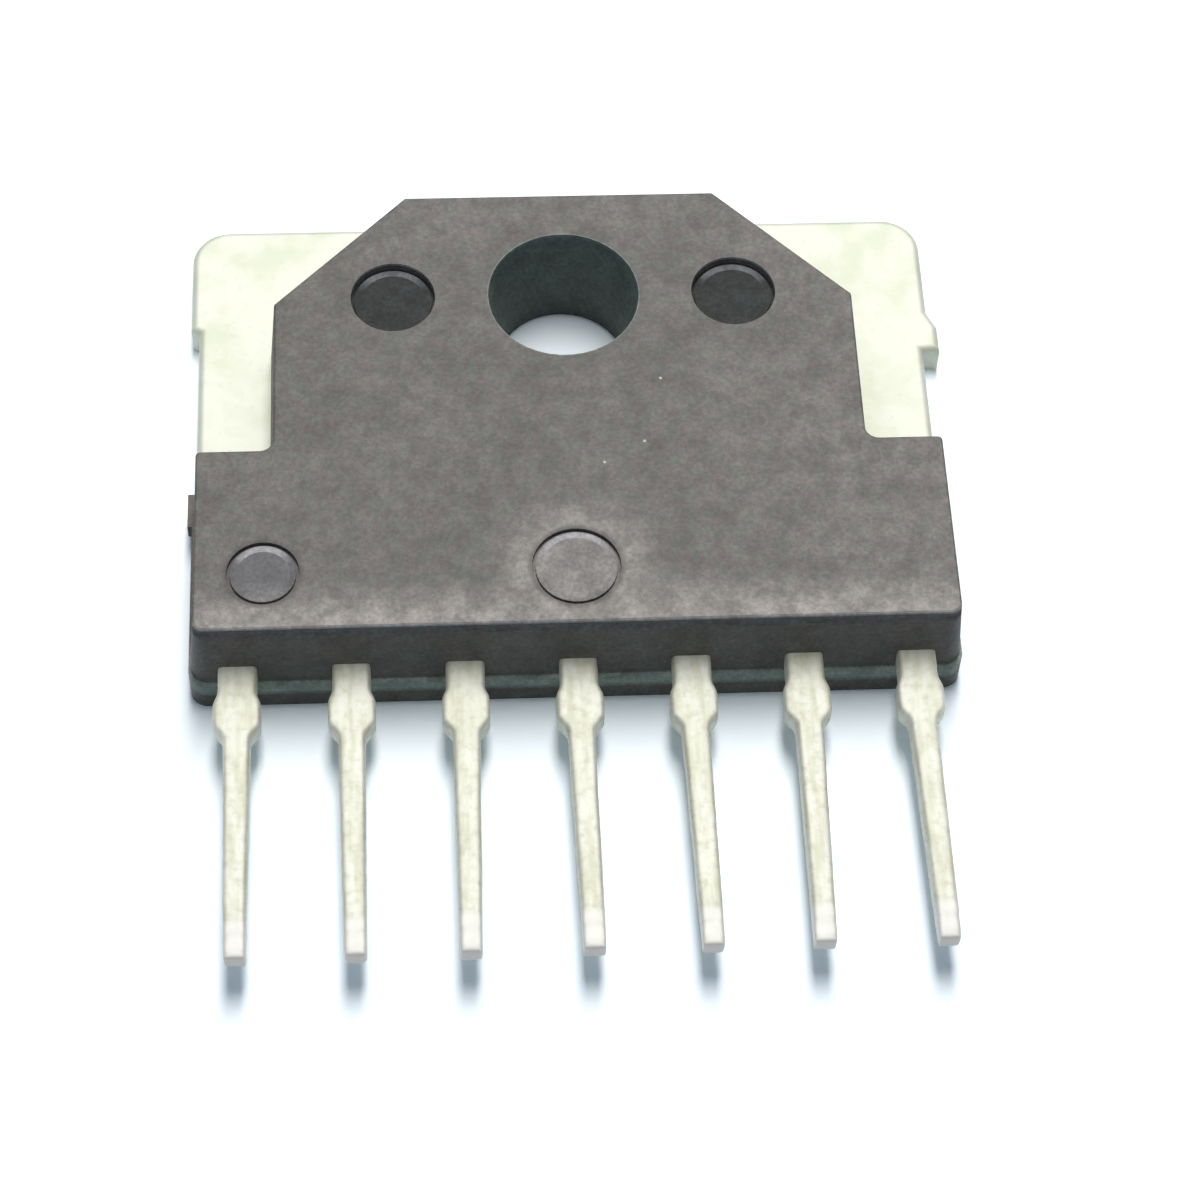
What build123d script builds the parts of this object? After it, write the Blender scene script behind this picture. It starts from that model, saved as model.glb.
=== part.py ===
"""Seven-lead single-in-line power integrated circuit with a heat spreader tab.

The part lies on the bare back of its spreader. The origin is the mounting hole's axis where it
meets that seating plane. +Z leaves the moulded face, the leads run towards -Y, and X is across
the part. All sizes are in millimetres.
"""
from build123d import *

import math
import os

# Leads: seven flat strips stamped from one sheet.
LEAD_COUNT = 7
LEAD_PITCH = 2.54
LEAD_THICKNESS = 0.60
LEAD_ROOT_WIDTH = 0.88
LEAD_SHAFT_WIDTH = 0.62
LEAD_TIP_WIDTH = 0.50
LEAD_EDGE_ROUND = 0.10
DAM_STUB_WIDTH = 1.08
DAM_STUB_LENGTH = 0.58
DAM_STUB_SLOPE = 0.26
SHAFT_SHOULDER_LENGTH = 0.30
FACE_TO_DAM_STUB = 0.84
FACE_TO_LEAD_TIP = 7.10
TIP_COIN_LENGTH = 1.00
TIP_COIN_DROP = 0.12
TIP_LEAN = (0.01, 0.05, -0.03, 0.07, 0.08, -0.06, 0.08)  # sideways set of each tip

# Leads: the part of each one that the moulding holds.
POST_PITCH = 1.75
POST_WIDTH = 1.10
POST_LENGTH = 0.70
POST_SLANT_LENGTH = 0.75
SPREADER_TO_POST = 0.30
GROUND_PADDLE_WIDTH = 1.70
GROUND_PADDLE_OVERLAP = 1.05

# Heat spreader: a thick stamped plate whose top face is the moulding's parting plane.
SPREADER_THICKNESS = 0.85
SPREADER_REAR_OVERHANG = 0.17  # past the moulding's flanks
SPREADER_WING_INSET = 0.02  # inside the moulding's flanks
SPREADER_NECK_INSET = 0.80
HOLE_TO_SPREADER_REAR = 3.65
HOLE_TO_SPREADER_FRONT = 7.00
HOLE_TO_WING_STEP = 0.70
WING_STEP_SLOPE = 0.10
SPREADER_CORNER_RADIUS = 0.90
SPREADER_FRONT_RADIUS = 0.60
SPREADER_DIE_ROLL = 0.18
SPREADER_HOLE_RADIUS = 2.00
LOCK_STEP = 0.35
LOCK_HEIGHT = 0.40
TIE_STUB_REACH = 0.22
HOLE_TO_TIE_STUB = 0.80
TIE_STUB_LENGTH = 1.15
TIE_STUB_SLOPE = 0.45
GROOVE_WIDTH = 0.30
GROOVE_DEPTH = 0.12
GROOVE_TO_SHOULDER = 1.15
RIVET_RADIUS = 0.28
RIVET_HEAD_RADIUS = 0.42
RIVET_HEAD_HEIGHT = 0.16

# Moulding: outline at the parting plane, measured from the mounting hole.
BODY_HEIGHT = 2.85
BODY_WIDTH = 17.40
SHOULDER_WIDTH = 13.90
HOLE_TO_BODY_REAR = 3.14
HOLE_TO_BODY_STEP = 4.10
HOLE_TO_BODY_FRONT = 9.21
REAR_CHAMFER = 3.20
CHAMFER_TURN = 45.0  # each end of an even chamfer turns the outline by this many degrees
DRAFT_ANGLE = 5.0
FRONT_CORNER_RADIUS = 0.42
STEP_CORNER_RADIUS = 0.28
INNER_CORNER_RADIUS = 0.14
REAR_CORNER_RADIUS = 0.25
TOP_EDGE_ROUND = 0.06
LEDGE_FRONT = 0.10
LEDGE_SIDE = 0.05

# Mounting hole: a straight land through the spreader's depth, then a drafted mouth.
MOUNTING_HOLE_RADIUS = 1.55
MOUNTING_HOLE_MOUTH_RADIUS = 1.77

# Round marks that the mould's pins leave in the face.
CLAMP_PIN_RADIUS = 0.99
CLAMP_PIN_DEPTH = 0.20
CLAMP_PIN_SPACING = 8.00
EJECTOR_RADIUS = 1.00
SIDE_EJECTOR_RADIUS = 0.82
EJECTOR_DEPTH = 0.05
FLANK_TO_SIDE_EJECTOR = 1.72
FRONT_TO_EJECTOR = 1.61
PIN_RING_WIDTH = 0.08
PIN_RING_DEPTH = 0.05  # below the floor of the mark
PIN_DISH_WIDTH = 0.14
PIN_DISH_RISE = 0.025

# Trimmed gate on one flank and vent on the other, just below the parting plane.
GATE_REACH = 0.10
GATE_LENGTH = 0.90
VENT_LENGTH = 0.40
GATE_HEIGHT = 0.40

# Chip, its solder and its bond wires.
DIE_WIDTH = 4.20
DIE_LENGTH = 2.80
DIE_THICKNESS = 0.30
DIE_TO_PADDLE = 0.30
SOLDER_THICKNESS = 0.05
SOLDER_MARGIN = 0.12
BOND_PAD_PITCH = 0.60
BOND_PAD_INSET = 0.30
WIRE_RADIUS = 0.06
WIRE_SIDES = 8  # few, because seven wires and their spaces repeat every facet
WIRE_LOOP_HEIGHT = 0.60
WIRE_KINK = 0.20
BALL_RADIUS = 0.14
BALL_HEIGHT = 0.10

# Widths, levels and stations that several pieces share.
SPREADER_REAR_WIDTH = BODY_WIDTH + 2 * SPREADER_REAR_OVERHANG
SPREADER_WING_WIDTH = BODY_WIDTH - 2 * SPREADER_WING_INSET
SPREADER_NECK_WIDTH = BODY_WIDTH - 2 * SPREADER_NECK_INSET
SIDE_EJECTOR_OFFSET = BODY_WIDTH / 2 - FLANK_TO_SIDE_EJECTOR
PARTING_Z = SPREADER_THICKNESS
LEAD_TOP_Z = PARTING_Z + LEAD_THICKNESS
DRAFT_SLOPE = math.tan(math.radians(DRAFT_ANGLE))
FRONT_Y = -HOLE_TO_BODY_FRONT
STEP_Y = -HOLE_TO_BODY_STEP
SPREADER_FRONT_Y = -HOLE_TO_SPREADER_FRONT
PADDLE_REAR_Y = SPREADER_FRONT_Y + GROUND_PADDLE_OVERLAP
RIVET_Y = SPREADER_FRONT_Y + GROUND_PADDLE_OVERLAP / 2
POST_REAR_Y = SPREADER_FRONT_Y - SPREADER_TO_POST
POST_FRONT_Y = POST_REAR_Y - POST_LENGTH
ROOT_BEND_Y = POST_FRONT_Y - POST_SLANT_LENGTH
DIE_FRONT_Y = PADDLE_REAR_Y + DIE_TO_PADDLE
DIE_CENTRE_Y = DIE_FRONT_Y + DIE_LENGTH / 2
DIE_TOP_Z = PARTING_Z + SOLDER_THICKNESS + DIE_THICKNESS
BOND_PAD_Y = DIE_FRONT_Y + BOND_PAD_INSET
SOLDER_REAR_Y = DIE_FRONT_Y + DIE_LENGTH + SOLDER_MARGIN
GROUND_LEAD = (LEAD_COUNT - 1) // 2
TINY = 1e-3


def prism(points, bottom, top):
    """A straight-sided solid over an outline, between two heights."""
    outline = make_face(Polyline(points, close=True))
    return extrude(Pos(0, 0, bottom) * outline, amount=top - bottom)


def disc(x, y, radius, bottom, top):
    """A round solid about a vertical axis."""
    return Pos(x, y, bottom) * extrude(Circle(radius), amount=top - bottom)


def vertices_near(sketch, spots):
    """The corners of a flat outline that lie at the given places."""
    return [v for v in sketch.vertices() if any(math.dist((v.X, v.Y), spot) < TINY for spot in spots)]


def lead_x(index):
    """Where one lead leaves the moulding."""
    return (index - (LEAD_COUNT - 1) / 2) * LEAD_PITCH


def post_x(index):
    """Where one lead's bonding post lies inside the moulding."""
    return (index - (LEAD_COUNT - 1) / 2) * POST_PITCH


def outer_lead_side(index, side):
    """One long edge of a lead from the moulding's front to its tip, side -1 or +1."""
    root, stub = LEAD_ROOT_WIDTH / 2, DAM_STUB_WIDTH / 2
    shaft, tip = LEAD_SHAFT_WIDTH / 2, LEAD_TIP_WIDTH / 2
    stub_rear = FRONT_Y - FACE_TO_DAM_STUB
    stub_front = stub_rear - DAM_STUB_LENGTH
    tip_y = FRONT_Y - FACE_TO_LEAD_TIP
    x, lean = lead_x(index), TIP_LEAN[index % len(TIP_LEAN)]
    return [
        (x + side * root, stub_rear + DAM_STUB_SLOPE),
        (x + side * stub, stub_rear),
        (x + side * stub, stub_front),
        (x + side * shaft, stub_front - SHAFT_SHOULDER_LENGTH),
        (x + lean + side * tip, tip_y),
    ]


def inner_lead_side(index, side):
    """One edge of a lead inside the moulding, from its rear end to where it bends to the root."""
    if index == GROUND_LEAD:
        paddle = side * GROUND_PADDLE_WIDTH / 2
        return [(lead_x(index) + paddle, PADDLE_REAR_Y), (lead_x(index) + paddle, POST_FRONT_Y),
                (lead_x(index) + side * LEAD_ROOT_WIDTH / 2, ROOT_BEND_Y)]
    post = post_x(index) + side * POST_WIDTH / 2
    return [(post, POST_REAR_Y), (post, POST_FRONT_Y),
            (lead_x(index) + side * LEAD_ROOT_WIDTH / 2, ROOT_BEND_Y)]


def make_lead(index):
    """One stamped lead: bonding post, root, sheared dam-bar stub, tapering shaft, coined tip."""
    right = inner_lead_side(index, 1) + outer_lead_side(index, 1)
    left = inner_lead_side(index, -1) + outer_lead_side(index, -1)
    lead = prism(right + left[::-1], PARTING_Z, LEAD_TOP_Z)
    tip_y = FRONT_Y - FACE_TO_LEAD_TIP
    bare_edges = [
        edge for edge in lead.edges()
        if edge.center().Z > LEAD_TOP_Z - TINY and tip_y + TINY < edge.center().Y < FRONT_Y
    ]
    lead = fillet(bare_edges, LEAD_EDGE_ROUND)
    coin_profile = [
        (tip_y, LEAD_TOP_Z - TIP_COIN_DROP), (tip_y + TIP_COIN_LENGTH, LEAD_TOP_Z), (tip_y, LEAD_TOP_Z)]
    coin_side = Plane.YZ.offset(lead_x(index) - LEAD_PITCH / 2)
    lead -= extrude(coin_side * make_face(Polyline(coin_profile, close=True)), amount=LEAD_PITCH)
    if index == GROUND_LEAD:
        lead -= disc(lead_x(index), RIVET_Y, RIVET_RADIUS, PARTING_Z, LEAD_TOP_Z)
    return lead


def spreader_outline():
    """The plate seen from above, with the sheared tie-bar stub on its +X edge."""
    rear, wing, neck = SPREADER_REAR_WIDTH / 2, SPREADER_WING_WIDTH / 2, SPREADER_NECK_WIDTH / 2
    stub_x = rear + TIE_STUB_REACH
    stub_front = HOLE_TO_TIE_STUB - TIE_STUB_LENGTH
    outline = make_face(Polyline([
        (-rear, HOLE_TO_SPREADER_REAR), (-rear, HOLE_TO_WING_STEP),
        (-wing, HOLE_TO_WING_STEP - WING_STEP_SLOPE), (-wing, STEP_Y), (-neck, STEP_Y),
        (-neck, SPREADER_FRONT_Y), (neck, SPREADER_FRONT_Y),
        (neck, STEP_Y), (wing, STEP_Y), (wing, stub_front), (stub_x, stub_front),
        (stub_x, HOLE_TO_TIE_STUB - TIE_STUB_SLOPE), (rear, HOLE_TO_TIE_STUB),
        (rear, HOLE_TO_SPREADER_REAR),
    ], close=True))
    rear_corners = [(-rear, HOLE_TO_SPREADER_REAR), (rear, HOLE_TO_SPREADER_REAR)]
    front_corners = [(-neck, SPREADER_FRONT_Y), (neck, SPREADER_FRONT_Y)]
    outline = fillet(vertices_near(outline, rear_corners), SPREADER_CORNER_RADIUS)
    return fillet(vertices_near(outline, front_corners), SPREADER_FRONT_RADIUS)


def make_heat_spreader():
    """The stamped plate, with lock steps for the moulding, a groove and the pin staked to a lead."""
    plate = extrude(spreader_outline(), amount=SPREADER_THICKNESS)
    bare_edges = [
        edge for edge in plate.edges()
        if edge.center().Z > SPREADER_THICKNESS - TINY and edge.center().Y > STEP_Y + TINY
    ]
    plate = fillet(bare_edges, SPREADER_DIE_ROLL)

    inset = SPREADER_NECK_WIDTH / 2 - LOCK_STEP
    outer = SPREADER_NECK_WIDTH / 2
    lock = prism([(-outer, SPREADER_FRONT_Y), (outer, SPREADER_FRONT_Y), (outer, STEP_Y),
                  (inset, STEP_Y), (inset, SPREADER_FRONT_Y + LOCK_STEP),
                  (-inset, SPREADER_FRONT_Y + LOCK_STEP), (-inset, STEP_Y), (-outer, STEP_Y)],
                 0, LOCK_HEIGHT)
    plate -= lock
    plate -= disc(0, 0, SPREADER_HOLE_RADIUS, 0, SPREADER_THICKNESS)
    plate -= disc(0, 0, SPREADER_HOLE_RADIUS + LOCK_STEP, 0, LOCK_HEIGHT)

    groove_y = (SOLDER_REAR_Y - SPREADER_HOLE_RADIUS) / 2
    groove_half = SHOULDER_WIDTH / 2 - GROOVE_TO_SHOULDER
    plate -= prism([(-groove_half, groove_y - GROOVE_WIDTH / 2), (groove_half, groove_y - GROOVE_WIDTH / 2),
                    (groove_half, groove_y + GROOVE_WIDTH / 2), (-groove_half, groove_y + GROOVE_WIDTH / 2)],
                   SPREADER_THICKNESS - GROOVE_DEPTH, SPREADER_THICKNESS)

    rivet_x = lead_x(GROUND_LEAD)
    plate += disc(rivet_x, RIVET_Y, RIVET_RADIUS, SPREADER_THICKNESS, LEAD_TOP_Z)
    plate += disc(rivet_x, RIVET_Y, RIVET_HEAD_RADIUS, LEAD_TOP_Z, LEAD_TOP_Z + RIVET_HEAD_HEIGHT)
    return plate


def make_solder():
    """The thin solder bed between the chip and the spreader."""
    width, length = DIE_WIDTH + 2 * SOLDER_MARGIN, DIE_LENGTH + 2 * SOLDER_MARGIN
    bed = Pos(0, DIE_CENTRE_Y, PARTING_Z) * Rectangle(width, length)
    return extrude(bed, amount=SOLDER_THICKNESS)


def make_die():
    """The silicon chip."""
    chip = Pos(0, DIE_CENTRE_Y, PARTING_Z + SOLDER_THICKNESS) * Rectangle(DIE_WIDTH, DIE_LENGTH)
    return extrude(chip, amount=DIE_THICKNESS)


def wire_landing(index):
    """Where a bond wire meets its lead: on the post, or beside the staked pin of the ground lead."""
    if index == GROUND_LEAD:
        return lead_x(index) + (GROUND_PADDLE_WIDTH / 2 + RIVET_HEAD_RADIUS) / 2, RIVET_Y
    return post_x(index), (POST_REAR_Y + POST_FRONT_Y) / 2


def make_bond_wire(index, lead):
    """One bond wire: a squashed ball on the chip, a kinked neck and a straight fall to the lead."""
    start_x = (index - (LEAD_COUNT - 1) / 2) * BOND_PAD_PITCH
    start = Vector(start_x, BOND_PAD_Y, DIE_TOP_Z + BALL_HEIGHT / 2)
    end = Vector(*wire_landing(index), LEAD_TOP_Z)
    crown_z = LEAD_TOP_Z + WIRE_LOOP_HEIGHT
    neck = Vector(start.X, start.Y, crown_z - WIRE_KINK)
    level_run = Vector(end.X - start.X, end.Y - start.Y, 0).normalized() * WIRE_KINK
    crown = Vector(start.X, start.Y, crown_z) + level_run
    section = Pos(start.X, start.Y, start.Z) * RegularPolygon(WIRE_RADIUS, WIRE_SIDES)
    wire = sweep(section, path=Polyline(start, neck, crown, end), transition=Transition.RIGHT)
    return wire - lead + disc(start.X, start.Y, BALL_RADIUS, DIE_TOP_Z, DIE_TOP_Z + BALL_HEIGHT)


def body_outline(inset):
    """The moulding's outline, drawn in by the draft: wide front block, chamfered narrower rear."""
    body, shoulder = BODY_WIDTH / 2 - inset, SHOULDER_WIDTH / 2 - inset
    front, step, rear_y = FRONT_Y + inset, STEP_Y - inset, HOLE_TO_BODY_REAR - inset
    corner_shift = inset * math.tan(math.radians(CHAMFER_TURN / 2))
    chamfer_x = SHOULDER_WIDTH / 2 - REAR_CHAMFER - corner_shift
    chamfer_y = HOLE_TO_BODY_REAR - REAR_CHAMFER - corner_shift
    outline = make_face(Polyline([
        (-body, front), (body, front), (body, step), (shoulder, step), (shoulder, chamfer_y),
        (chamfer_x, rear_y), (-chamfer_x, rear_y), (-shoulder, chamfer_y),
        (-shoulder, step), (-body, step),
    ], close=True))
    for radius, spots in (
        (FRONT_CORNER_RADIUS - inset, [(body, front)]),
        (STEP_CORNER_RADIUS - inset, [(body, step)]),
        (INNER_CORNER_RADIUS + inset, [(shoulder, step)]),
        (REAR_CORNER_RADIUS - inset, [(shoulder, chamfer_y), (chamfer_x, rear_y)]),
    ):
        mirrored = spots + [(-x, y) for x, y in spots]
        outline = fillet(vertices_near(outline, mirrored), radius)
    return outline


def make_mounting_hole():
    """The space for the mounting screw: a straight land, then a mouth that widens to the face."""
    profile = make_face(Polyline([
        (0, 0), (MOUNTING_HOLE_RADIUS, 0), (MOUNTING_HOLE_RADIUS, PARTING_Z),
        (MOUNTING_HOLE_MOUTH_RADIUS, BODY_HEIGHT), (0, BODY_HEIGHT),
    ], close=True))
    return revolve(Plane.XZ * profile, axis=Axis.Z)


def make_pin_mark(x, y, radius, depth):
    """The space of one mark: a floor that dishes up to its rim, inside a narrow ring groove."""
    rim = radius - PIN_RING_WIDTH
    profile = make_face(Polyline([
        (0, -depth), (rim - PIN_DISH_WIDTH, -depth), (rim, PIN_DISH_RISE - depth),
        (rim, -depth - PIN_RING_DEPTH), (radius, -depth - PIN_RING_DEPTH), (radius, 0), (0, 0),
    ], close=True))
    return Pos(x, y, BODY_HEIGHT) * revolve(Plane.XZ * profile, axis=Axis.Z)


def make_pin_marks():
    """Round marks in the face: two deep ones level with the hole, two shallow ones in front."""
    ejector_y = FRONT_Y + FRONT_TO_EJECTOR
    return [
        make_pin_mark(-CLAMP_PIN_SPACING / 2, 0, CLAMP_PIN_RADIUS, CLAMP_PIN_DEPTH),
        make_pin_mark(CLAMP_PIN_SPACING / 2, 0, CLAMP_PIN_RADIUS, CLAMP_PIN_DEPTH),
        make_pin_mark(0, ejector_y, EJECTOR_RADIUS, EJECTOR_DEPTH),
        make_pin_mark(-SIDE_EJECTOR_OFFSET, ejector_y, SIDE_EJECTOR_RADIUS, EJECTOR_DEPTH),
    ]


def make_moulded_body(inner_pieces):
    """The epoxy moulding, with the space of each piece that it holds left out exactly."""
    draft_inset = (BODY_HEIGHT - PARTING_Z) * DRAFT_SLOPE
    upper = loft([Pos(0, 0, PARTING_Z) * body_outline(0), Pos(0, 0, BODY_HEIGHT) * body_outline(draft_inset)],
                 ruled=True)
    upper = fillet([edge for edge in upper.edges() if edge.center().Z > BODY_HEIGHT - TINY],
                   TOP_EDGE_ROUND)

    side, front = BODY_WIDTH / 2 + LEDGE_SIDE, FRONT_Y - LEDGE_FRONT
    base = make_face(Polyline([(-side, front), (side, front), (side, STEP_Y), (-side, STEP_Y)],
                              close=True))
    base = fillet(vertices_near(base, [(-side, front), (side, front)]), FRONT_CORNER_RADIUS)
    lower = extrude(base, amount=PARTING_Z)
    for x, length in ((-side, GATE_LENGTH), (side, VENT_LENGTH)):
        lower += prism([(x - GATE_REACH, STEP_Y - length), (x + GATE_REACH, STEP_Y - length),
                        (x + GATE_REACH, STEP_Y), (x - GATE_REACH, STEP_Y)],
                       PARTING_Z - GATE_HEIGHT, PARTING_Z)
    lining = disc(0, 0, SPREADER_HOLE_RADIUS + LOCK_STEP, 0, PARTING_Z)

    body = upper + lower + lining
    for piece in inner_pieces:
        body -= piece
    for cut in [make_mounting_hole()] + make_pin_marks():
        body -= cut
    return body


def make_parts():
    """Every piece by its node name."""
    parts = {"heat_spreader": make_heat_spreader(), "die_solder": make_solder(), "die": make_die()}
    for index in range(LEAD_COUNT):
        lead = make_lead(index)
        parts[f"lead_{index + 1}"] = lead
        parts[f"bond_wire_{index + 1}"] = make_bond_wire(index, lead)
    parts["moulded_body"] = make_moulded_body(list(parts.values()))
    return parts


os.makedirs("parts", exist_ok=True)
for node, shape in make_parts().items():
    export_step(shape, f"parts/{node}.step")
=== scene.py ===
"""Looks of a seven-lead power package: moulded epoxy body, tinned heat spreader and leads."""

import math

import bmesh
import bpy
from mathutils import Matrix, Vector


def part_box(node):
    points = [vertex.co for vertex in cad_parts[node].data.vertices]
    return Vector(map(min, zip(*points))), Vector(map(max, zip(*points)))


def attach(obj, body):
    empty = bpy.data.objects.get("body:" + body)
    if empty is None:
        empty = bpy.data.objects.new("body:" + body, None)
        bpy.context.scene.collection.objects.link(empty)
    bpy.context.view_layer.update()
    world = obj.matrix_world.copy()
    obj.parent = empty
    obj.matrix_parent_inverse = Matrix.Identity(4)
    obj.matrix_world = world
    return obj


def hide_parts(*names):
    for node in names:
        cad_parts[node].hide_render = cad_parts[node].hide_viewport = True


MM = 0.001

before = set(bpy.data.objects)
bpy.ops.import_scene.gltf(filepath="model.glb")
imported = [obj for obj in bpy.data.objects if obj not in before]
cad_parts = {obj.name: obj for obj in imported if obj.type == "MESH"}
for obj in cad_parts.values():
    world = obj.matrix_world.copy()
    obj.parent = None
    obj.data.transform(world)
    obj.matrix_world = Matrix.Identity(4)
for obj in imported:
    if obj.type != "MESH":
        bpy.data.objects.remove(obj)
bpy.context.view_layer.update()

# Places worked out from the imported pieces.
body_low, body_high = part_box("moulded_body")
lead_low, lead_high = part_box("lead_4")
LEADS = sorted(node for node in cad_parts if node.startswith("lead_"))
FACE_Z = body_high[2]
FRONT_Y = body_low[1]
PARTING_Z = lead_low[2]
TIP_Y = lead_low[1]

# Epoxy: sizes of its unevenness
CLOUD_SIZE = 2.2 * MM
MOTTLE_SIZE = 0.50 * MM
TINT_SIZE = 0.35 * MM
GRAIN_SIZE = 0.10 * MM
GRAIN_BUMP = 0.02 * MM
EPOXY_IOR = 1.55
EPOXY_SHEEN = 0.35
EPOXY_ROUGHNESS = 0.55
DEEP_MARK_ROUGHNESS = 0.90

# Epoxy face: how deep the floors of the marks lie, and where a painted sheen lightens the face.
DEEP_FLOOR = (0.13 * MM, 0.35 * MM)
SHALLOW_FLOOR = (0.01 * MM, 0.07 * MM)
PAINTED_SHEEN_FROM_FRONT = (0.35 * MM, 1.60 * MM)
PAINTED_SHEEN_REAR = (0.0 * MM, 3.0 * MM)             # along Y, from nothing to most
PAINTED_SHEEN_FLANK = (1.0 * MM, 8.0 * MM)            # along X, the same
CENTRE_MARK = (0.0, FRONT_Y + 1.71 * MM, FACE_Z)
CENTRE_MARK_RADIUS = 1.00 * MM
SIDE_MARK = (body_low[0] + 1.87 * MM, FRONT_Y + 1.71 * MM, FACE_Z)
SIDE_MARK_RADIUS = 0.82 * MM
RING_SHADE = (0.13 * MM, 0.03 * MM)
CENTRE_HALO = (1.0 * MM, 2.3 * MM)
# A band of painted light on the ledge at the parting plane, and on the crease just above it:
PAINTED_LEDGE_LIGHT = (-0.42 * MM, -0.22 * MM, -0.04 * MM, 0.07 * MM)   # from the parting plane
PAINTED_LEDGE_LIGHT_REACH = (0.05 * MM, 0.90 * MM)    # from the front face: whole, then faded out
BORE_RADIUS = 1.79 * MM                        # just past the mouth of the mounting hole
FILLER_GRAINS = ((2.15, -2.49), (1.69, -4.25), (0.75, -4.81))   # millimetres from the hole
FILLER_GRAIN_RADIUS = 0.045 * MM

# Tinned spreader and leads
STAIN_SIZE = 1.1 * MM
PIT_SIZE = 0.16 * MM
SPREADER_ROUGHNESS = 0.72
STREAK_SIZE = 0.20 * MM
STREAK_STRETCH = 0.16
SPECK_SIZE = 0.20 * MM
LEAD_ROUGHNESS = 0.74
COINED_LENGTH = 0.95 * MM
SHEARED_LENGTH = 0.05 * MM
LEAD_CELL = 0.045               # millimetres, as are all the inputs of the lead's node tree
LEAD_SKIN = 0.015               # what the cells take off the strip, less the height of the ripples
LEAD_RIPPLE_HEIGHT = 0.022
LEAD_RIPPLE_LENGTH = 0.35
LEAD_BLUR_STEPS = 3

HIDDEN_WEAR_SIZE = 0.3 * MM     # on the pieces inside the moulding

# Camera: on the side of the leads, looking down on the face.
AIM = Vector((0.633, -6.722, 0.0)) * MM
CAMERA_DISTANCE = 78.56 * MM
CAMERA_ELEVATION = 57.76
CAMERA_AZIMUTH = -4.96
CAMERA_ROLL = 2.82
CAMERA_LENS = 101.8

# Light
KEY_DISTANCE = 250 * MM
KEY_SIZE = (60 * MM, 190 * MM)  # narrow across the leads, long over them
KEY_ELEVATION = 69
KEY_AZIMUTH = 174
KEY_SHARE = 0.90
KEY_TINT = "#FFFBF7"
AMBIENT_SHARE = 0.25
AMBIENT_TINT = "#DCEBFA"
FLOOR_SIZE = 900 * MM
FLOOR_WHITENER = (0.14, 0.24, 0.32, 1.0)     # added to the floor for the camera, to reach white
FLOOR_BOUNCE = 0.13
GLOSS_AT_HORIZON = 0.25          # how bright the studio is to gloss, from there to overhead
GLOSS_OVERHEAD = 0.90


def linear(hex_colour):
    """A Blender colour from an sRGB hex value."""
    channels = [int(hex_colour[i:i + 2], 16) / 255 for i in (1, 3, 5)]
    light = [c / 12.92 if c <= 0.04045 else ((c + 0.055) / 1.055) ** 2.4 for c in channels]
    return tuple(light) + (1.0,)


def add(tree, kind, inputs=None, **settings):
    """Adds a node, with its settings and with each input set to a value or linked from a socket."""
    node = tree.nodes.new(kind)
    for name, value in settings.items():
        setattr(node, name, value)
    for key, value in (inputs or {}).items():
        if isinstance(value, bpy.types.NodeSocket):
            tree.links.new(value, node.inputs[key])
        else:
            node.inputs[key].default_value = value
    return node


def new_material(name):
    """An empty material, with its tree and its texture coordinates."""
    material = bpy.data.materials.new(name)
    material.use_nodes = True
    material.node_tree.nodes.clear()
    tree = material.node_tree
    return material, tree, add(tree, "ShaderNodeTexCoord").outputs


def epoxy_tone(tree, place):
    """The uneven grey of filled epoxy, and the two noises that its texture and bumps share."""
    cloud = add(tree, "ShaderNodeTexNoise", {
        "Vector": place, "Scale": 1 / CLOUD_SIZE, "Detail": 3.0})
    mottle = add(tree, "ShaderNodeTexNoise", {
        "Vector": place, "Scale": 1 / MOTTLE_SIZE, "Detail": 4.0, "Roughness": 0.6})
    tint = add(tree, "ShaderNodeTexNoise", {"Vector": place, "Scale": 1 / TINT_SIZE, "Detail": 2.0})
    grain = add(tree, "ShaderNodeTexNoise", {
        "Vector": place, "Scale": 1 / GRAIN_SIZE, "Detail": 3.0, "Roughness": 0.65})
    greened = add(tree, "ShaderNodeMix", {
        0: add(tree, "ShaderNodeMapRange", {
            "Value": tint.outputs["Fac"], "From Min": 0.40, "From Max": 0.60}).outputs[0],
        6: linear("#5C5654"), 7: linear("#595C56")}, data_type="RGBA")
    clouded = add(tree, "ShaderNodeMix", {
        0: add(tree, "ShaderNodeMapRange", {
            "Value": cloud.outputs["Fac"], "From Min": 0.35, "From Max": 0.68,
            "To Max": 0.45}).outputs[0],
        6: greened.outputs[2], 7: linear("#6F6C69")}, data_type="RGBA")
    return clouded.outputs[2], mottle.outputs["Fac"], grain.outputs["Fac"]


def textured(tree, tone, mottle, grain):
    """A tone with the mottle and the grain of the eroded mould on it."""
    mottled = add(tree, "ShaderNodeMapRange", {
        "Value": mottle, "From Min": 0.34, "From Max": 0.66, "To Min": 0.78, "To Max": 1.22})
    grained = add(tree, "ShaderNodeMapRange", {
        "Value": grain, "From Min": 0.40, "From Max": 0.64, "To Min": 0.82, "To Max": 1.20})
    depth = add(tree, "ShaderNodeMath", {0: mottled.outputs[0], 1: grained.outputs[0]},
                operation="MULTIPLY")
    return add(tree, "ShaderNodeVectorMath", {0: tone, "Scale": depth.outputs[0]},
               operation="SCALE").outputs[0]


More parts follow.
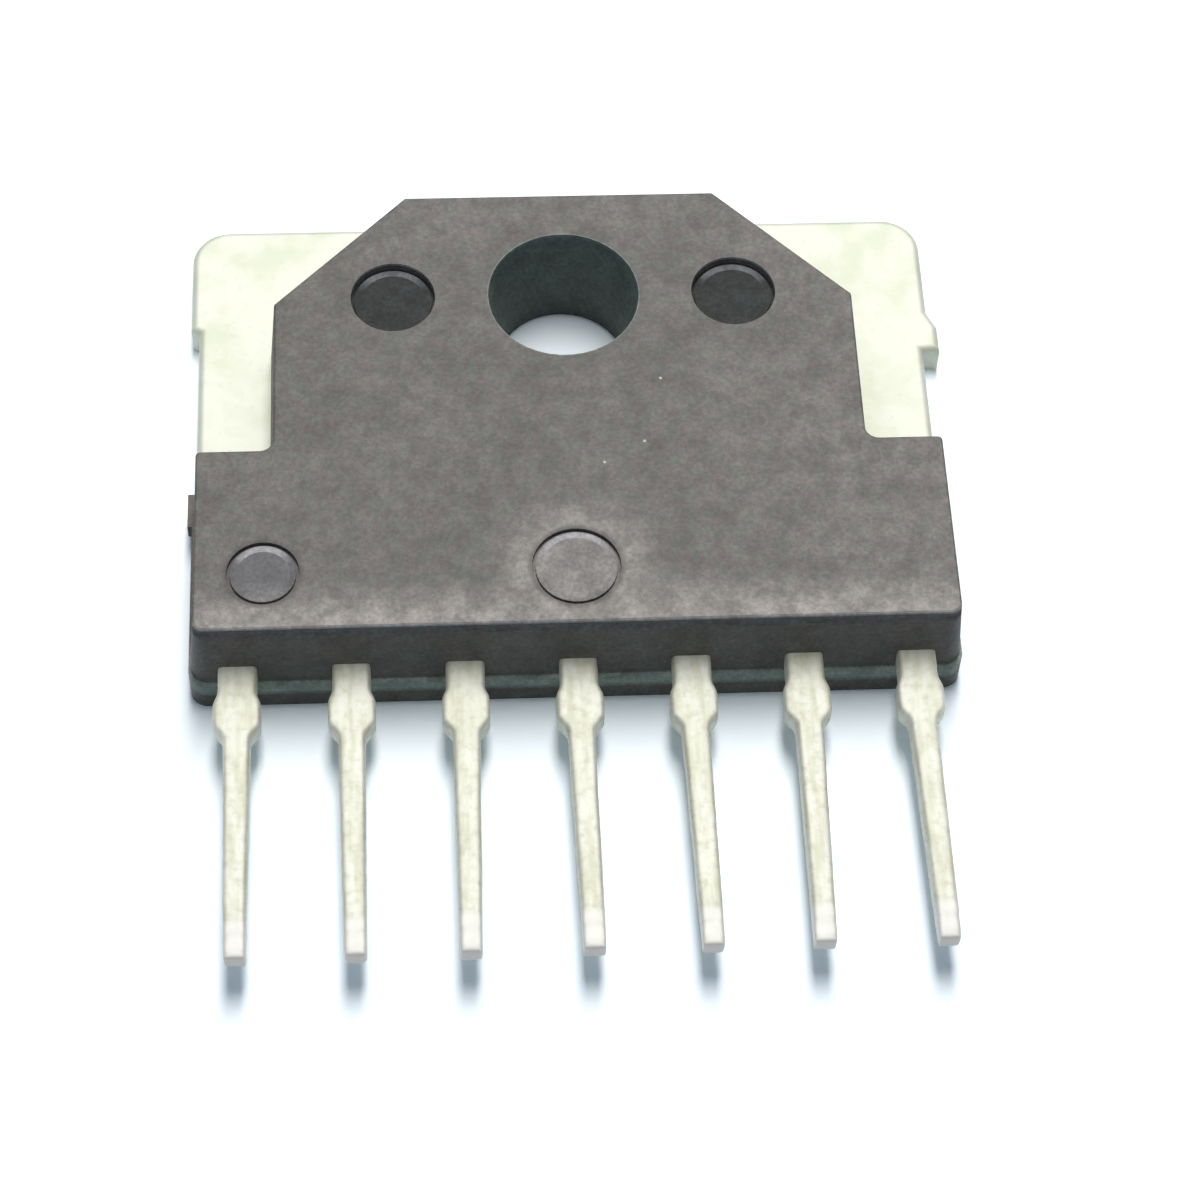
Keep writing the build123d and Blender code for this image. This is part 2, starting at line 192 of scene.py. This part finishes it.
def painted_sheen_share(tree, place, at, mottle):
    """How much painted sheen lightens the face, most at the front and round the centre mark."""
    near_front = add(tree, "ShaderNodeMapRange", {
        "Value": at["Y"], "From Min": FRONT_Y + PAINTED_SHEEN_FROM_FRONT[1],
        "From Max": FRONT_Y + PAINTED_SHEEN_FROM_FRONT[0]}, interpolation_type="SMOOTHSTEP")
    near_rear = add(tree, "ShaderNodeMapRange", {
        "Value": at["Y"], "From Min": PAINTED_SHEEN_REAR[0], "From Max": PAINTED_SHEEN_REAR[1], "To Max": 0.16})
    near_flank = add(tree, "ShaderNodeMapRange", {
        "Value": at["X"], "From Min": PAINTED_SHEEN_FLANK[0], "From Max": PAINTED_SHEEN_FLANK[1], "To Max": 0.24})
    from_mark = add(tree, "ShaderNodeVectorMath", {0: place, 1: CENTRE_MARK}, operation="DISTANCE")
    near_mark = add(tree, "ShaderNodeMapRange", {
        "Value": from_mark.outputs["Value"], "From Min": CENTRE_HALO[1], "From Max": CENTRE_HALO[0],
        "To Max": 0.7}, interpolation_type="SMOOTHSTEP")
    sheen_patches = add(tree, "ShaderNodeMapRange", {
        "Value": mottle, "From Min": 0.30, "From Max": 0.62, "To Min": 0.65})
    near = near_front
    for other in (near_rear, near_flank, near_mark):
        near = add(tree, "ShaderNodeMath", {0: near.outputs[0], 1: other.outputs[0]},
                   operation="MAXIMUM")
    return add(tree, "ShaderNodeMath", {0: near.outputs[0], 1: sheen_patches.outputs[0]},
               operation="MULTIPLY").outputs[0]


def between(tree, value, low, high):
    """One where a value lies between two others, else nothing."""
    above = add(tree, "ShaderNodeMath", {0: value, 1: low}, operation="GREATER_THAN")
    below = add(tree, "ShaderNodeMath", {0: value, 1: high}, operation="LESS_THAN")
    return add(tree, "ShaderNodeMath", {0: above.outputs[0], 1: below.outputs[0]},
               operation="MULTIPLY").outputs[0]


def painted_ring_shade_share(tree, place, centre, radius):
    """A soft band of painted shade over the edge of a shallow mark."""
    gap = add(tree, "ShaderNodeVectorMath", {0: place, 1: centre}, operation="DISTANCE")
    off_edge = add(tree, "ShaderNodeMath", {0: gap.outputs["Value"], 1: radius},
                   operation="SUBTRACT")
    off_edge = add(tree, "ShaderNodeMath", {0: off_edge.outputs[0]}, operation="ABSOLUTE")
    return add(tree, "ShaderNodeMapRange", {
        "Value": off_edge.outputs[0], "From Min": RING_SHADE[0], "From Max": RING_SHADE[1],
        "To Max": 0.6}).outputs[0]


def painted_ledge_light_share(tree, at):
    """Painted light on the ledge along the parting plane in front and on the crease just above it,
    fading round the corners.
    """
    bottom, low, high, top = (PARTING_Z + offset for offset in PAINTED_LEDGE_LIGHT)
    rising = add(tree, "ShaderNodeMapRange", {
        "Value": at["Z"], "From Min": bottom, "From Max": low})
    falling = add(tree, "ShaderNodeMapRange", {
        "Value": at["Z"], "From Min": top, "From Max": high})
    band = add(tree, "ShaderNodeMath", {0: rising.outputs[0], 1: falling.outputs[0]},
               operation="MULTIPLY")
    front = add(tree, "ShaderNodeMapRange", {
        "Value": at["Y"], "From Min": FRONT_Y + PAINTED_LEDGE_LIGHT_REACH[1],
        "From Max": FRONT_Y + PAINTED_LEDGE_LIGHT_REACH[0]}, interpolation_type="SMOOTHSTEP")
    return add(tree, "ShaderNodeMath", {0: band.outputs[0], 1: front.outputs[0]},
               operation="MULTIPLY").outputs[0]


def moulded_epoxy():
    """Silica-filled epoxy moulding compound, pressed in a spark-eroded mould.

    The eroded mould leaves a matt grain of about 0.1 mm, and uneven filler mottles the grey between
    a warm and a greenish tone. A painted sheen lightens the face along its front edge and round the
    centre mark, broken up by the mottle, and a little towards the rear and one flank. The floors of
    the two deep pin marks are dark and dull. The rims of all four marks carry a painted highlight
    on the side away from the leads, painted shade rings the edges of the shallow marks, a greenish
    band of painted light runs along the parting ledge in front, and a painted reflection lightens
    the bore of the mounting hole. A few grains of filler show pale.
    """
    material, tree, coordinates = new_material("moulded_epoxy")
    place, normal = coordinates["Object"], coordinates["Normal"]
    at = add(tree, "ShaderNodeSeparateXYZ", {0: place}).outputs
    facing = add(tree, "ShaderNodeSeparateXYZ", {0: normal}).outputs
    facing_up = add(tree, "ShaderNodeMapRange", {
        "Value": facing["Z"], "From Min": 0.80, "From Max": 0.97}).outputs[0]
    # Faces tilted towards the leads: the far rims of the marks, which get a painted highlight.
    painted_rim_highlight = add(tree, "ShaderNodeMapRange", {
        "Value": facing["Y"], "From Min": -0.07, "From Max": -0.15, "To Max": 0.8}).outputs[0]
    tone, mottle, grain = epoxy_tone(tree, place)
    # Inside the bore, a painted reflection of the floor lightens the wall.
    flat_place = add(tree, "ShaderNodeVectorMath", {0: place, 1: (1.0, 1.0, 0.0)},
                     operation="MULTIPLY")
    from_bore = add(tree, "ShaderNodeVectorMath", {0: flat_place.outputs[0]}, operation="LENGTH")
    painted_bore_reflection = add(tree, "ShaderNodeMath", {0: from_bore.outputs["Value"], 1: BORE_RADIUS},
               operation="LESS_THAN").outputs[0]
    deep = between(tree, at["Z"], FACE_Z - DEEP_FLOOR[1], FACE_Z - DEEP_FLOOR[0])
    shallow = between(tree, at["Z"], FACE_Z - SHALLOW_FLOOR[1], FACE_Z - SHALLOW_FLOOR[0])
    for share, over, colour in (
            (shallow, facing_up, "#5A5A5E"),
            # painted sheen, lightest along the front edge and round the centre mark
            (painted_sheen_share(tree, place, at, mottle), facing_up, "#97928E"),
            (deep, facing_up, "#383B3B"),
            # painted highlight on the far rims of the shallow and the deep marks
            (shallow, painted_rim_highlight, "#B6B5B9"),
            (deep, painted_rim_highlight, "#7C7C80"),
            # painted shade round the edges of the shallow marks
            (painted_ring_shade_share(tree, place, CENTRE_MARK, CENTRE_MARK_RADIUS), 1.0, "#3B3937"),
            (painted_ring_shade_share(tree, place, SIDE_MARK, SIDE_MARK_RADIUS), 1.0, "#3B3937"),
            # painted light on the parting ledge
            (painted_ledge_light_share(tree, at), 1.0, "#A3B6AE"),
            # painted reflection of the floor on the wall of the bore
            (painted_bore_reflection, 0.7, "#7A8A84")):
        here = add(tree, "ShaderNodeMath", {0: share, 1: over}, operation="MULTIPLY")
        tone = add(tree, "ShaderNodeMix", {0: here.outputs[0], 6: tone, 7: linear(colour)},
                   data_type="RGBA").outputs[2]
    tone = textured(tree, tone, mottle, grain)
    for x, y in FILLER_GRAINS:
        gap = add(tree, "ShaderNodeVectorMath", {0: place, 1: (x * MM, y * MM, FACE_Z)},
                  operation="DISTANCE")
        grain_here = add(tree, "ShaderNodeMapRange", {
            "Value": gap.outputs["Value"], "From Min": FILLER_GRAIN_RADIUS,
            "From Max": FILLER_GRAIN_RADIUS / 2})
        tone = add(tree, "ShaderNodeMix", {0: grain_here.outputs[0], 6: tone, 7: linear("#C4C2B4")},
                   data_type="RGBA").outputs[2]

    eroded = add(tree, "ShaderNodeMapRange", {"Value": deep, "To Min": 0.6, "To Max": 0.2})
    coarse = add(tree, "ShaderNodeBump", {
        "Height": mottle, "Strength": eroded.outputs[0], "Distance": GRAIN_BUMP})
    fine = add(tree, "ShaderNodeBump", {
        "Height": grain, "Strength": eroded.outputs[0], "Distance": GRAIN_BUMP,
        "Normal": coarse.outputs["Normal"]})
    dullness = add(tree, "ShaderNodeMapRange", {
        "Value": deep, "To Min": EPOXY_ROUGHNESS, "To Max": DEEP_MARK_ROUGHNESS})
    shader = add(tree, "ShaderNodeBsdfPrincipled", {
        "Base Color": tone, "Roughness": dullness.outputs[0], "IOR": EPOXY_IOR,
        "Specular IOR Level": EPOXY_SHEEN,
        "Normal": fine.outputs["Normal"]})
    add(tree, "ShaderNodeOutputMaterial", {"Surface": shader.outputs["BSDF"]})
    return material


def tinned_copper():
    """Matt tin plated on the thick copper of the heat spreader.

    The plate is a faintly yellow white, clouded by flux stains a millimetre or so wide and pitted
    with fine darker specks.
    """
    material, tree, coordinates = new_material("tinned_copper")
    place = coordinates["Object"]
    stain = add(tree, "ShaderNodeTexNoise", {
        "Vector": place, "Scale": 1 / STAIN_SIZE, "Detail": 4.0})
    pits = add(tree, "ShaderNodeTexNoise", {"Vector": place, "Scale": 1 / PIT_SIZE, "Detail": 3.0})
    stained = add(tree, "ShaderNodeMix", {
        0: add(tree, "ShaderNodeMapRange", {
            "Value": stain.outputs["Fac"], "From Min": 0.46, "From Max": 0.64,
            "To Max": 0.9}).outputs[0],
        6: linear("#CFD2C9"), 7: linear("#C5CABB")}, data_type="RGBA")
    pitted = add(tree, "ShaderNodeMix", {
        0: add(tree, "ShaderNodeMapRange", {
            "Value": pits.outputs["Fac"], "From Min": 0.60, "From Max": 0.74,
            "To Max": 0.2}).outputs[0],
        6: stained.outputs[2], 7: linear("#B4B6A8")}, data_type="RGBA")
    ripple = add(tree, "ShaderNodeBump", {
        "Height": stain.outputs["Fac"], "Strength": 0.5, "Distance": 0.05 * MM})
    bump = add(tree, "ShaderNodeBump", {
        "Height": pits.outputs["Fac"], "Strength": 0.2, "Distance": 0.010 * MM,
        "Normal": ripple.outputs["Normal"]})
    shader = add(tree, "ShaderNodeBsdfPrincipled", {
        "Base Color": pitted.outputs[2], "Metallic": 1.0, "Roughness": SPREADER_ROUGHNESS,
        "Normal": bump.outputs["Normal"]})
    add(tree, "ShaderNodeOutputMaterial", {"Surface": shader.outputs["BSDF"]})
    return material


def tinned_lead():
    """Matt tin plated on the stamped leads.

    Rolling streaks run along each lead under the plate, with cloudy grey specks over them. The
    coined tip is burnished brighter, and its sheared end shows dull bare metal.
    """
    material, tree, coordinates = new_material("tinned_lead")
    place, normal = coordinates["Object"], coordinates["Normal"]
    along = add(tree, "ShaderNodeSeparateXYZ", {0: place}).outputs["Y"]
    facing = add(tree, "ShaderNodeSeparateXYZ", {0: normal}).outputs["Y"]
    drawn = add(tree, "ShaderNodeMapping", {"Vector": place, "Scale": (1.0, STREAK_STRETCH, 1.0)})
    streak = add(tree, "ShaderNodeTexNoise", {
        "Vector": drawn.outputs["Vector"], "Scale": 1 / STREAK_SIZE, "Detail": 3.0})
    speck = add(tree, "ShaderNodeTexNoise", {
        "Vector": place, "Scale": 1 / SPECK_SIZE, "Detail": 4.0, "Roughness": 0.6})
    streaked = add(tree, "ShaderNodeMapRange", {
        "Value": streak.outputs["Fac"], "From Min": 0.42, "From Max": 0.66, "To Max": 0.85})
    specked = add(tree, "ShaderNodeMapRange", {
        "Value": speck.outputs["Fac"], "From Min": 0.48, "From Max": 0.70, "To Max": 0.5})
    coined = add(tree, "ShaderNodeMapRange", {
        "Value": along, "From Min": TIP_Y + COINED_LENGTH, "From Max": TIP_Y + 0.8 * COINED_LENGTH,
        "To Max": 0.8})
    facing_end = add(tree, "ShaderNodeMapRange", {
        "Value": facing, "From Min": -0.5, "From Max": -0.8})
    sheared = add(tree, "ShaderNodeMath", {
        0: add(tree, "ShaderNodeMath", {0: along, 1: TIP_Y + SHEARED_LENGTH},
               operation="LESS_THAN").outputs[0],
        1: facing_end.outputs[0]}, operation="MULTIPLY")
    tone = linear("#D2D4CC")
    for share, colour in ((streaked, "#C3C5B5"), (specked, "#B4B4A4"), (coined, "#D4D5D3"),
                          (sheared, "#C9C5C2")):
        tone = add(tree, "ShaderNodeMix", {0: share.outputs[0], 6: tone, 7: linear(colour)},
                   data_type="RGBA").outputs[2]
    bump = add(tree, "ShaderNodeBump", {
        "Height": speck.outputs["Fac"], "Strength": 0.15, "Distance": 0.015 * MM})
    shader = add(tree, "ShaderNodeBsdfPrincipled", {
        "Base Color": tone, "Metallic": 1.0, "Roughness": LEAD_ROUGHNESS,
        "Normal": bump.outputs["Normal"]})
    add(tree, "ShaderNodeOutputMaterial", {"Surface": shader.outputs["BSDF"]})
    return material


def hidden_metal(name, colour, roughness):
    """A bare metal or silicon for a piece that the moulding hides, with a faint unevenness."""
    material, tree, coordinates = new_material(name)
    wear = add(tree, "ShaderNodeTexNoise", {
        "Vector": coordinates["Object"], "Scale": 1 / HIDDEN_WEAR_SIZE})
    bump = add(tree, "ShaderNodeBump", {
        "Height": wear.outputs["Fac"], "Strength": 0.1, "Distance": 0.01 * MM})
    shader = add(tree, "ShaderNodeBsdfPrincipled", {
        "Base Color": linear(colour), "Metallic": 1.0, "Roughness": roughness,
        "Normal": bump.outputs["Normal"]})
    add(tree, "ShaderNodeOutputMaterial", {"Surface": shader.outputs["BSDF"]})
    return material


def dress(node, material):
    """Gives a CAD node its finish."""
    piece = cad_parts[node]
    piece.data.materials.clear()
    piece.data.materials.append(material)


def dress_package(lead_tin):
    """Assigns every CAD node's material."""
    gold = hidden_metal("bond_wire_gold", "#F0C060", 0.25)
    dress("moulded_body", moulded_epoxy())
    dress("heat_spreader", tinned_copper())
    dress("die", hidden_metal("polished_silicon", "#6A6E78", 0.15))
    dress("die_solder", hidden_metal("lead_solder", "#9A9A9C", 0.5))
    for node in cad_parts:
        if node.startswith("lead_"):
            dress(node, lead_tin)
        elif node.startswith("bond_wire_"):
            dress(node, gold)


def tin_dip_tree(material):
    """Geometry nodes that round a stamped strip's edges and ripple its faces as thick tin does.

    The strip is worked on in millimetres, because the cells are too small in metres.
    """
    tree = bpy.data.node_groups.new("tin_dip", "GeometryNodeTree")
    face = tree.interface
    face.new_socket("Geometry", in_out="INPUT", socket_type="NodeSocketGeometry")
    face.new_socket("Cell", in_out="INPUT", socket_type="NodeSocketFloat")
    face.new_socket("Skin", in_out="INPUT", socket_type="NodeSocketFloat")
    face.new_socket("Ripple Height", in_out="INPUT", socket_type="NodeSocketFloat")
    face.new_socket("Ripple Length", in_out="INPUT", socket_type="NodeSocketFloat")
    face.new_socket("Blur Steps", in_out="INPUT", socket_type="NodeSocketInt")
    face.new_socket("Geometry", in_out="OUTPUT", socket_type="NodeSocketGeometry")
    given = add(tree, "NodeGroupInput").outputs

    enlarged = add(tree, "GeometryNodeTransform", {
        "Geometry": given["Geometry"], "Scale": (1 / MM,) * 3})
    volume = add(tree, "GeometryNodeMeshToVolume", {
        "Mesh": enlarged.outputs[0], "Voxel Size": given["Cell"],
        "Interior Band Width": given["Cell"]}, resolution_mode="VOXEL_SIZE")
    surface = add(tree, "GeometryNodeVolumeToMesh", {
        "Volume": volume.outputs[0], "Voxel Size": given["Cell"], "Threshold": 0.5},
        resolution_mode="VOXEL_SIZE")
    place = add(tree, "GeometryNodeInputPosition")
    blurred = add(tree, "GeometryNodeBlurAttribute", {
        "Value": place.outputs[0], "Iterations": given["Blur Steps"]}, data_type="FLOAT_VECTOR")
    softened = add(tree, "GeometryNodeSetPosition", {
        "Geometry": surface.outputs[0], "Position": blurred.outputs[0]})
    wave = add(tree, "ShaderNodeMath", {0: 1.0, 1: given["Ripple Length"]}, operation="DIVIDE")
    noise = add(tree, "ShaderNodeTexNoise", {"Vector": place.outputs[0], "Scale": wave.outputs[0]})
    centred = add(tree, "ShaderNodeMath", {0: noise.outputs["Fac"], 1: 0.5}, operation="SUBTRACT")
    push = add(tree, "ShaderNodeMath", {
        0: centred.outputs[0], 1: given["Ripple Height"], 2: given["Skin"]},
        operation="MULTIPLY_ADD")
    outward = add(tree, "ShaderNodeVectorMath", {
        0: add(tree, "GeometryNodeInputNormal").outputs[0], "Scale": push.outputs[0]},
        operation="SCALE")
    rippled = add(tree, "GeometryNodeSetPosition", {
        "Geometry": softened.outputs[0], "Offset": outward.outputs[0]})
    reduced = add(tree, "GeometryNodeTransform", {
        "Geometry": rippled.outputs[0], "Scale": (MM,) * 3})
    smooth = add(tree, "GeometryNodeSetShadeSmooth", {"Geometry": reduced.outputs[0]})
    real = add(tree, "GeometryNodeRealizeInstances", {"Geometry": smooth.outputs[0]})
    tinned = add(tree, "GeometryNodeSetMaterial", {
        "Geometry": real.outputs[0], "Material": material})
    add(tree, "NodeGroupOutput", {"Geometry": tinned.outputs[0]})
    return tree


def merged_copy(node):
    """A node's shape as one closed mesh in a new object."""
    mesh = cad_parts[node].data.copy()
    shape = bmesh.new()
    shape.from_mesh(mesh)
    bmesh.ops.remove_doubles(shape, verts=shape.verts, dist=MM / 1000)
    shape.to_mesh(mesh)
    shape.free()
    piece = bpy.data.objects.new("tinned_" + node, mesh)
    bpy.context.scene.collection.objects.link(piece)
    return piece


def build_tinned_lead(node, tree):
    """One lead with its tin: soft edges, rippled faces."""
    piece = merged_copy(node)
    dip = piece.modifiers.new("tin_dip", "NODES")
    dip.node_group = tree
    sizes = {"Cell": LEAD_CELL, "Skin": LEAD_SKIN, "Ripple Height": LEAD_RIPPLE_HEIGHT,
             "Ripple Length": LEAD_RIPPLE_LENGTH, "Blur Steps": LEAD_BLUR_STEPS}
    for socket in tree.interface.items_tree:
        if socket.in_out == "INPUT" and socket.name in sizes:
            dip[socket.identifier] = sizes[socket.name]
    bpy.context.view_layer.update()
    evaluated = piece.evaluated_get(bpy.context.evaluated_depsgraph_get())
    finished = bpy.data.meshes.new_from_object(evaluated)
    piece.modifiers.remove(dip)
    piece.data = finished
    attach(piece, "root")
    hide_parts(node)


def build_floor():
    """A plain white floor, brightened to the camera and dimmed in the light it throws back up."""
    mesh = bpy.data.meshes.new("floor")
    half = FLOOR_SIZE / 2
    corners = [(-half, -half, 0), (half, -half, 0), (half, half, 0), (-half, half, 0)]
    mesh.from_pydata(corners, [], [(0, 1, 2, 3)])
    floor = bpy.data.objects.new("floor", mesh)
    bpy.context.scene.collection.objects.link(floor)
    material, tree, _ = new_material("floor_white")
    path = add(tree, "ShaderNodeLightPath")
    seen = add(tree, "ShaderNodeMath", {
        0: path.outputs["Is Camera Ray"], 1: path.outputs["Is Glossy Ray"]}, operation="MAXIMUM")
    seen = add(tree, "ShaderNodeMath", {0: seen.outputs[0], 1: path.outputs["Is Transmission Ray"]},
               operation="MAXIMUM")
    paper = add(tree, "ShaderNodeBsdfDiffuse", {"Color": (1.0, 1.0, 1.0, 1.0)})
    whitener = add(tree, "ShaderNodeBsdfDiffuse", {"Color": FLOOR_WHITENER})
    bright = add(tree, "ShaderNodeAddShader", {0: paper.outputs[0], 1: whitener.outputs[0]})
    dim = add(tree, "ShaderNodeBsdfDiffuse", {"Color": (FLOOR_BOUNCE,) * 3 + (1.0,)})
    both = add(tree, "ShaderNodeMixShader", {
        0: seen.outputs[0], 1: dim.outputs[0], 2: bright.outputs[0]})
    add(tree, "ShaderNodeOutputMaterial", {"Surface": both.outputs[0]})
    mesh.materials.append(material)


def build_world():
    """A studio that is white overhead to the eye and to gloss, and a weak bluish fill otherwise."""
    world = bpy.data.worlds.new("studio")
    bpy.context.scene.world = world
    world.use_nodes = True
    tree = world.node_tree
    tree.nodes.clear()
    path = add(tree, "ShaderNodeLightPath")
    direction = add(tree, "ShaderNodeSeparateXYZ",
                    {"Vector": add(tree, "ShaderNodeTexCoord").outputs["Generated"]})
    gloss = add(tree, "ShaderNodeMapRange", {
        "Value": direction.outputs["Z"], "From Min": 0.0, "From Max": 0.9,
        "To Min": GLOSS_AT_HORIZON, "To Max": GLOSS_OVERHEAD})
    fill = add(tree, "ShaderNodeBackground", {
        "Color": linear(AMBIENT_TINT), "Strength": AMBIENT_SHARE})
    mirror = add(tree, "ShaderNodeBackground", {
        "Color": (1, 1, 1, 1), "Strength": gloss.outputs[0]})
    seen = add(tree, "ShaderNodeBackground", {"Color": (1, 1, 1, 1), "Strength": 1.0})
    first = add(tree, "ShaderNodeMixShader",
                {0: path.outputs["Is Glossy Ray"], 1: fill.outputs[0], 2: mirror.outputs[0]})
    second = add(tree, "ShaderNodeMixShader",
                 {0: path.outputs["Is Camera Ray"], 1: first.outputs[0], 2: seen.outputs[0]})
    add(tree, "ShaderNodeOutputWorld", {"Surface": second.outputs[0]})


def stand_at(azimuth, elevation, distance):
    """A place that far from the aim, at an azimuth counted from -Y towards +X."""
    turn, rise = math.radians(azimuth), math.radians(elevation)
    level = math.cos(rise)
    direction = Vector((math.sin(turn) * level, -math.cos(turn) * level, math.sin(rise)))
    return AIM + direction * distance


def aim_at(thing, place, roll):
    """Puts a lamp or camera at a place, looking at the aim."""
    look = (AIM - place).to_track_quat("-Z", "Y").to_matrix().to_4x4()
    spin = Matrix.Rotation(math.radians(roll), 4, "Z")
    thing.matrix_world = Matrix.Translation(place) @ look @ spin


def build_key_light():
    """One long soft lamp, high and a little behind the part."""
    lamp = bpy.data.lights.new("key", "AREA")
    lamp.shape = "ELLIPSE"
    lamp.size, lamp.size_y = KEY_SIZE
    lamp.energy = KEY_SHARE * math.pi ** 2 * KEY_DISTANCE ** 2
    lamp.color = linear(KEY_TINT)[:3]
    key = bpy.data.objects.new("key", lamp)
    bpy.context.scene.collection.objects.link(key)
    aim_at(key, stand_at(KEY_AZIMUTH, KEY_ELEVATION, KEY_DISTANCE), 0)


def build_camera():
    """The camera."""
    lens = bpy.data.cameras.new("camera")
    lens.lens = CAMERA_LENS
    lens.clip_start = 0.001
    camera = bpy.data.objects.new("camera", lens)
    bpy.context.scene.collection.objects.link(camera)
    aim_at(camera, stand_at(CAMERA_AZIMUTH, CAMERA_ELEVATION, CAMERA_DISTANCE), CAMERA_ROLL)
    bpy.context.scene.camera = camera


lead_tin = tinned_lead()
dress_package(lead_tin)
tin_dip = tin_dip_tree(lead_tin)
for lead in LEADS:
    build_tinned_lead(lead, tin_dip)
build_floor()
build_world()
build_key_light()
build_camera()
bpy.context.scene.view_settings.view_transform = "Standard"
